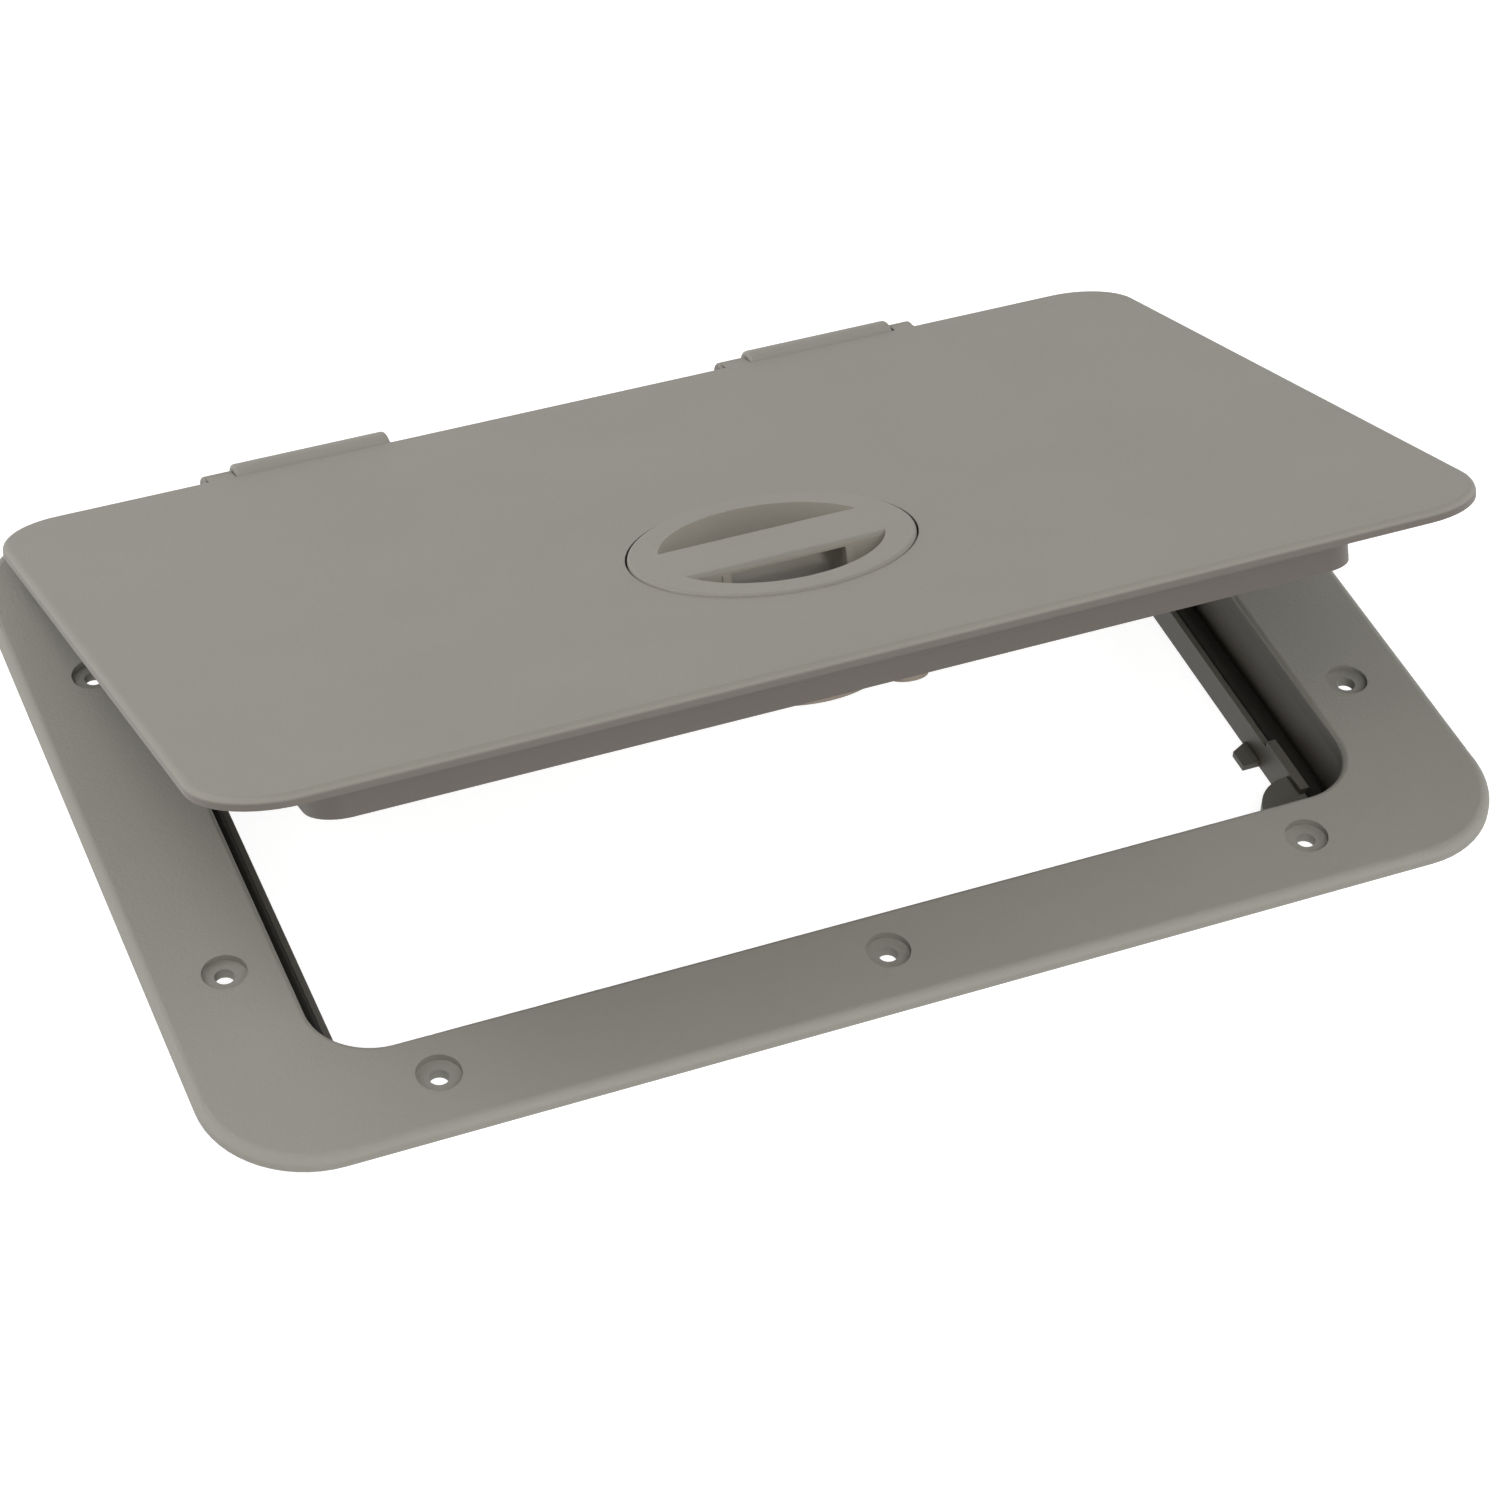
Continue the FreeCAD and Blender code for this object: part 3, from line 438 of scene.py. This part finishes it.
# Shares of the head's height.
HEAD_EDGE_ROUND = 0.36
RECESS_DEPTH = 0.66
# Shares of the head's radius, and how much narrower the recess is at its bottom.
RECESS_LENGTH = 1.1
RECESS_WIDTH = 0.26
RECESS_TAPER = 0.62
# Shares of the shank's radius and of its core's.
THREAD_DEPTH = 0.14
TIP_CHAMFER = 1 / 3
# Shares of the thread's pitch.
RIDGE_SIZE = 1 / 3
RIDGE_START = 0.6
SCREW_STEPS = 48
THREAD_STEPS = 24

turned_steel = stainless_steel("stainless_steel_turned", SCREW_STEEL, LID_UP, SCREW_ROUGHNESS)
LID_RIGHT = Vector((1, 0, 0))
LID_BACK = LID_UP.cross(LID_RIGHT)


def thread_ridge(core_r, crest_r, length, pitch):
    """The helical ridge of a thread, closed at both ends, from just above the head to the tip."""
    deselect()
    bpy.ops.mesh.primitive_circle_add(vertices=3, radius=pitch * RIDGE_SIZE,
                                      rotation=(math.pi / 2, 0, 0))
    ridge = bpy.context.object
    bpy.ops.object.transform_apply(location=True, rotation=True, scale=True)
    bpy.ops.object.mode_set(mode="EDIT")
    bpy.ops.mesh.select_all(action="SELECT")
    bpy.ops.transform.rotate(value=-math.pi / 2, orient_axis="Y", center_override=(0, 0, 0))
    bpy.ops.object.mode_set(mode="OBJECT")
    peak = max(vertex.co.x for vertex in ridge.data.vertices)
    bpy.ops.object.mode_set(mode="EDIT")
    bpy.ops.transform.translate(value=(crest_r - peak, 0, pitch * RIDGE_START))
    bpy.ops.object.mode_set(mode="OBJECT")
    helix = ridge.modifiers.new("helix", "SCREW")
    helix.screw_offset = pitch
    helix.iterations = int(length / pitch) - 1
    helix.steps = THREAD_STEPS
    helix.render_steps = THREAD_STEPS
    bpy.ops.object.modifier_apply(modifier=helix.name)
    bpy.ops.object.mode_set(mode="EDIT")
    bpy.ops.mesh.select_all(action="SELECT")
    bpy.ops.mesh.fill_holes(sides=0)
    bpy.ops.mesh.normals_make_consistent(inside=False)
    bpy.ops.object.mode_set(mode="OBJECT")
    return ridge


def pan_head_screw(node, head_h, shank_r, pitch):
    """A screw in its CAD node's place, with its head down and its shank up along LID_UP."""
    low, high = span_along(node, LID_UP)
    left, right = span_along(node, LID_RIGHT)
    near, far = span_along(node, LID_BACK)
    head_r = (right - left) / 2
    length = high - low - head_h
    core_r = shank_r * (1 - THREAD_DEPTH)
    deselect()
    bpy.ops.mesh.primitive_cylinder_add(vertices=SCREW_STEPS, radius=head_r, depth=head_h,
                                        location=(0, 0, -head_h / 2))
    screw = bpy.context.object
    bpy.ops.object.transform_apply(location=True, rotation=True, scale=True)
    select_in_mesh(screw, "edges", rim_at(screw, -head_h, head_r))
    bpy.ops.mesh.bevel(offset=head_h * HEAD_EDGE_ROUND, segments=5)
    bpy.ops.object.mode_set(mode="OBJECT")
    select_in_mesh(screw, "polygons", lambda face: face.normal.z > FACING)
    bpy.ops.mesh.inset(thickness=head_r - core_r)
    bpy.ops.mesh.extrude_region_move(TRANSFORM_OT_translate={"value": (0, 0, length)})
    bpy.ops.object.mode_set(mode="OBJECT")
    select_in_mesh(screw, "edges", rim_at(screw, length, core_r))
    bpy.ops.mesh.bevel(offset=core_r * TIP_CHAMFER, segments=1)
    bpy.ops.object.mode_set(mode="OBJECT")
    for bar in cross_bars(2, head_r * RECESS_LENGTH, head_r * RECESS_WIDTH,
                          -head_h * (2 - RECESS_DEPTH), -head_h * (1 - RECESS_DEPTH),
                          RECESS_TAPER):
        cut_with(screw, bar)
    ridge = thread_ridge(core_r, shank_r, length, pitch)
    make_active(screw)
    ridge.select_set(True)
    bpy.ops.object.join()
    screw.data.materials.append(turned_steel)
    origin = (LID_RIGHT * (left + right) / 2 + LID_BACK * (near + far) / 2
              + LID_UP * (low + head_h))
    place_on(screw, node, LID_RIGHT, LID_BACK, LID_UP, origin)


for index in range(1, 5):
    pan_head_screw("cup_screw_%d" % index, CUP_HEAD_H, CUP_SHANK_R, CUP_THREAD_PITCH)

# Handle
# A disc with a finger recess either side of a bar, and a square shank that turns the cam arm. It
# is moulded in the same ASA as the lid, textured on its face and plain inside its recess. Its
# sides and its recess are painted lighter, as painted light.
HANDLE_GREY = "#7f7c74"
# The paler grey is a painted light, put on the handle's sides and in its recess, where shade
# falls.
HANDLE_RECESS_PAINTED_LIGHT_GREY = "#959086"
HANDLE_OUTSIDE_DEPTH = 2.5 * MM

handle_top = span_along("latch_handle", LID_UP)[1]
give("latch_handle", moulded_asa("asa_grey_handle", HANDLE_GREY, HANDLE_RECESS_PAINTED_LIGHT_GREY, LID_UP,
                                 handle_top - HANDLE_OUTSIDE_DEPTH,
                                 handle_top - TEXTURE_EDGE))

# Shank seal
# A moulded O-ring of the same rubber sits in a groove of the handle's shank. It keeps water out
# of the cup's bore.
give("shank_o_ring", epdm_rubber)

# Thrust washer and cam arm
# The washer is turned from grey acetal, a waxy plastic with a soft sheen that slides well. The
# arm is glass filled nylon as the cup is, pushed onto the square of the shank.
ACETAL_GREY = "#8f8a80"
ACETAL_PALE_GREY = "#9a958b"
ACETAL_CLOUD_WIDTH = 4.0 * MM

acetal, tree = new_material("acetal_grey_turned")
place = add(tree, "ShaderNodeTexCoord").outputs["Object"]
cloud = add(tree, "ShaderNodeTexNoise", links={"Vector": place},
            values={"Scale": 1 / ACETAL_CLOUD_WIDTH, "Detail": 2.0})
tone = add(tree, "ShaderNodeMix", {"data_type": "RGBA"}, {"Factor": cloud.outputs["Fac"]},
           {"A": linear(ACETAL_GREY), "B": linear(ACETAL_PALE_GREY)})
shader = add(tree, "ShaderNodeBsdfPrincipled", links={"Base Color": tone.outputs["Result"]},
             values={"Roughness": 0.35, "IOR": 1.48})
add(tree, "ShaderNodeOutputMaterial", links={"Surface": shader.outputs["BSDF"]})
give("thrust_washer", acetal)
give("cam_arm", glass_nylon)

# Cam washer and cam screw
# A flat washer and a pan head screw, both of turned stainless steel, hold the arm on the shank.
# The screw goes up into the end of the shank.
CAM_HEAD_H = 3.2 * MM
CAM_SHANK_R = 2.5 * MM
CAM_THREAD_PITCH = 0.8 * MM

give("cam_washer", turned_steel)
pan_head_screw("cam_screw", CAM_HEAD_H, CAM_SHANK_R, CAM_THREAD_PITCH)

# Floor
# A round table of white paper that turns up into a low wall far behind the hatch. It is lit from
# under as for a catalogue picture, so that it stays white where the hatch shades it. The hatch
# stands on it with the lowest edge of its wall.
PAPER_WHITE = "#a6a6a5"
PAPER_FIBRE_WHITE = "#acacab"
# Real fibres are about 2 mm long. They are drawn coarser, so that they show.
PAPER_FIBRE_WIDTH = 15.0 * MM
PAPER_GLOW = 0.88
FLOOR_R = 4.0
FLOOR_WALL_H = 1.4
FLOOR_COVE = 0.4
FLOOR_GAP = 0.2 * MM

deselect()
bpy.ops.mesh.primitive_circle_add(vertices=96, radius=FLOOR_R, fill_type="NGON",
                                  location=(0, 0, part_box("frame")[0].z - FLOOR_GAP))
floor = bpy.context.object
floor.name = "studio_floor"
bpy.ops.object.mode_set(mode="EDIT")
bpy.ops.mesh.select_mode(type="EDGE")
bpy.ops.mesh.select_all(action="SELECT")
bpy.ops.mesh.extrude_edges_move(TRANSFORM_OT_translate={"value": (0, 0, FLOOR_WALL_H)})
bpy.ops.object.mode_set(mode="OBJECT")
select_in_mesh(floor, "edges", rim_at(floor, 0, FLOOR_R))
bpy.ops.mesh.bevel(offset=FLOOR_COVE, segments=8)
bpy.ops.object.mode_set(mode="OBJECT")
bpy.ops.object.shade_smooth()

white_paper, tree = new_material("white_paper_lit_from_under")
place = add(tree, "ShaderNodeTexCoord").outputs["Object"]
fibre = add(tree, "ShaderNodeTexNoise", links={"Vector": place},
            values={"Scale": 1 / PAPER_FIBRE_WIDTH, "Detail": 3.0})
tone = add(tree, "ShaderNodeMix", {"data_type": "RGBA"}, {"Factor": fibre.outputs["Fac"]},
           {"A": linear(PAPER_WHITE), "B": linear(PAPER_FIBRE_WHITE)})
shader = add(tree, "ShaderNodeBsdfPrincipled", links={"Base Color": tone.outputs["Result"]},
             values={"Roughness": 0.9, "Specular IOR Level": 0.0,
                     "Emission Color": (1.0, 1.0, 1.0, 1.0), "Emission Strength": PAPER_GLOW})
add(tree, "ShaderNodeOutputMaterial", links={"Surface": shader.outputs["BSDF"]})
floor.data.materials.append(white_paper)

# Card
# A strip of the same paper lies close under the front of the flange, before the wall, so that
# the three screw holes there show white as they do over a light table.
CARD_FROM_RIM = 5.0 * MM
CARD_WIDTH = 22.0 * MM
CARD_LENGTH = 300.0 * MM
CARD_GAP = 0.15 * MM

deselect()
bpy.ops.mesh.primitive_plane_add(
    size=1, location=(0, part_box("frame")[0].y + CARD_FROM_RIM + CARD_WIDTH / 2, -CARD_GAP))
card = bpy.context.object
card.name = "studio_card"
bpy.ops.transform.resize(value=(CARD_LENGTH, CARD_WIDTH, 1))
bpy.ops.object.transform_apply(location=True, rotation=True, scale=True)
card.data.materials.append(white_paper)

# Light
# Five wide soft boxes stand round the hatch and leave no hard shadow: behind it on the left, in
# front, in front and above, above on the left, and on the right. The room is almost dark.
ROOM_GLOW = 0.02
SOFT_BOX_SIZE = 1.4
SOFT_BOX_FAR = 2.2

world = bpy.data.worlds.new("dark_room")
world.use_nodes = True
world.node_tree.nodes["Background"].inputs["Color"].default_value = (1.0, 1.0, 1.0, 1.0)
world.node_tree.nodes["Background"].inputs["Strength"].default_value = ROOM_GLOW
bpy.context.scene.world = world


def soft_box(name, towards, watts):
    """A square lamp in a direction from the hatch, which it faces."""
    data = bpy.data.lights.new(name, "AREA")
    data.shape = "SQUARE"
    data.size = SOFT_BOX_SIZE
    data.energy = watts
    lamp = bpy.data.objects.new(name, data)
    lamp.location = Vector(towards).normalized() * SOFT_BOX_FAR
    lamp.rotation_euler = (-lamp.location).to_track_quat("-Z", "Y").to_euler()
    bpy.context.scene.collection.objects.link(lamp)


soft_box("back_left_box", (-0.58, 0.58, 0.57), 28.0)
soft_box("front_box", (0.0, -0.87, 0.5), 15.5)
soft_box("front_upper_box", (0.0, -0.5, 0.87), 19.5)
soft_box("left_upper_box", (-0.5, 0.0, 0.87), 12.0)
soft_box("right_box", (0.87, 0.0, 0.5), 17.0)
bpy.context.scene.view_settings.view_transform = "Standard"
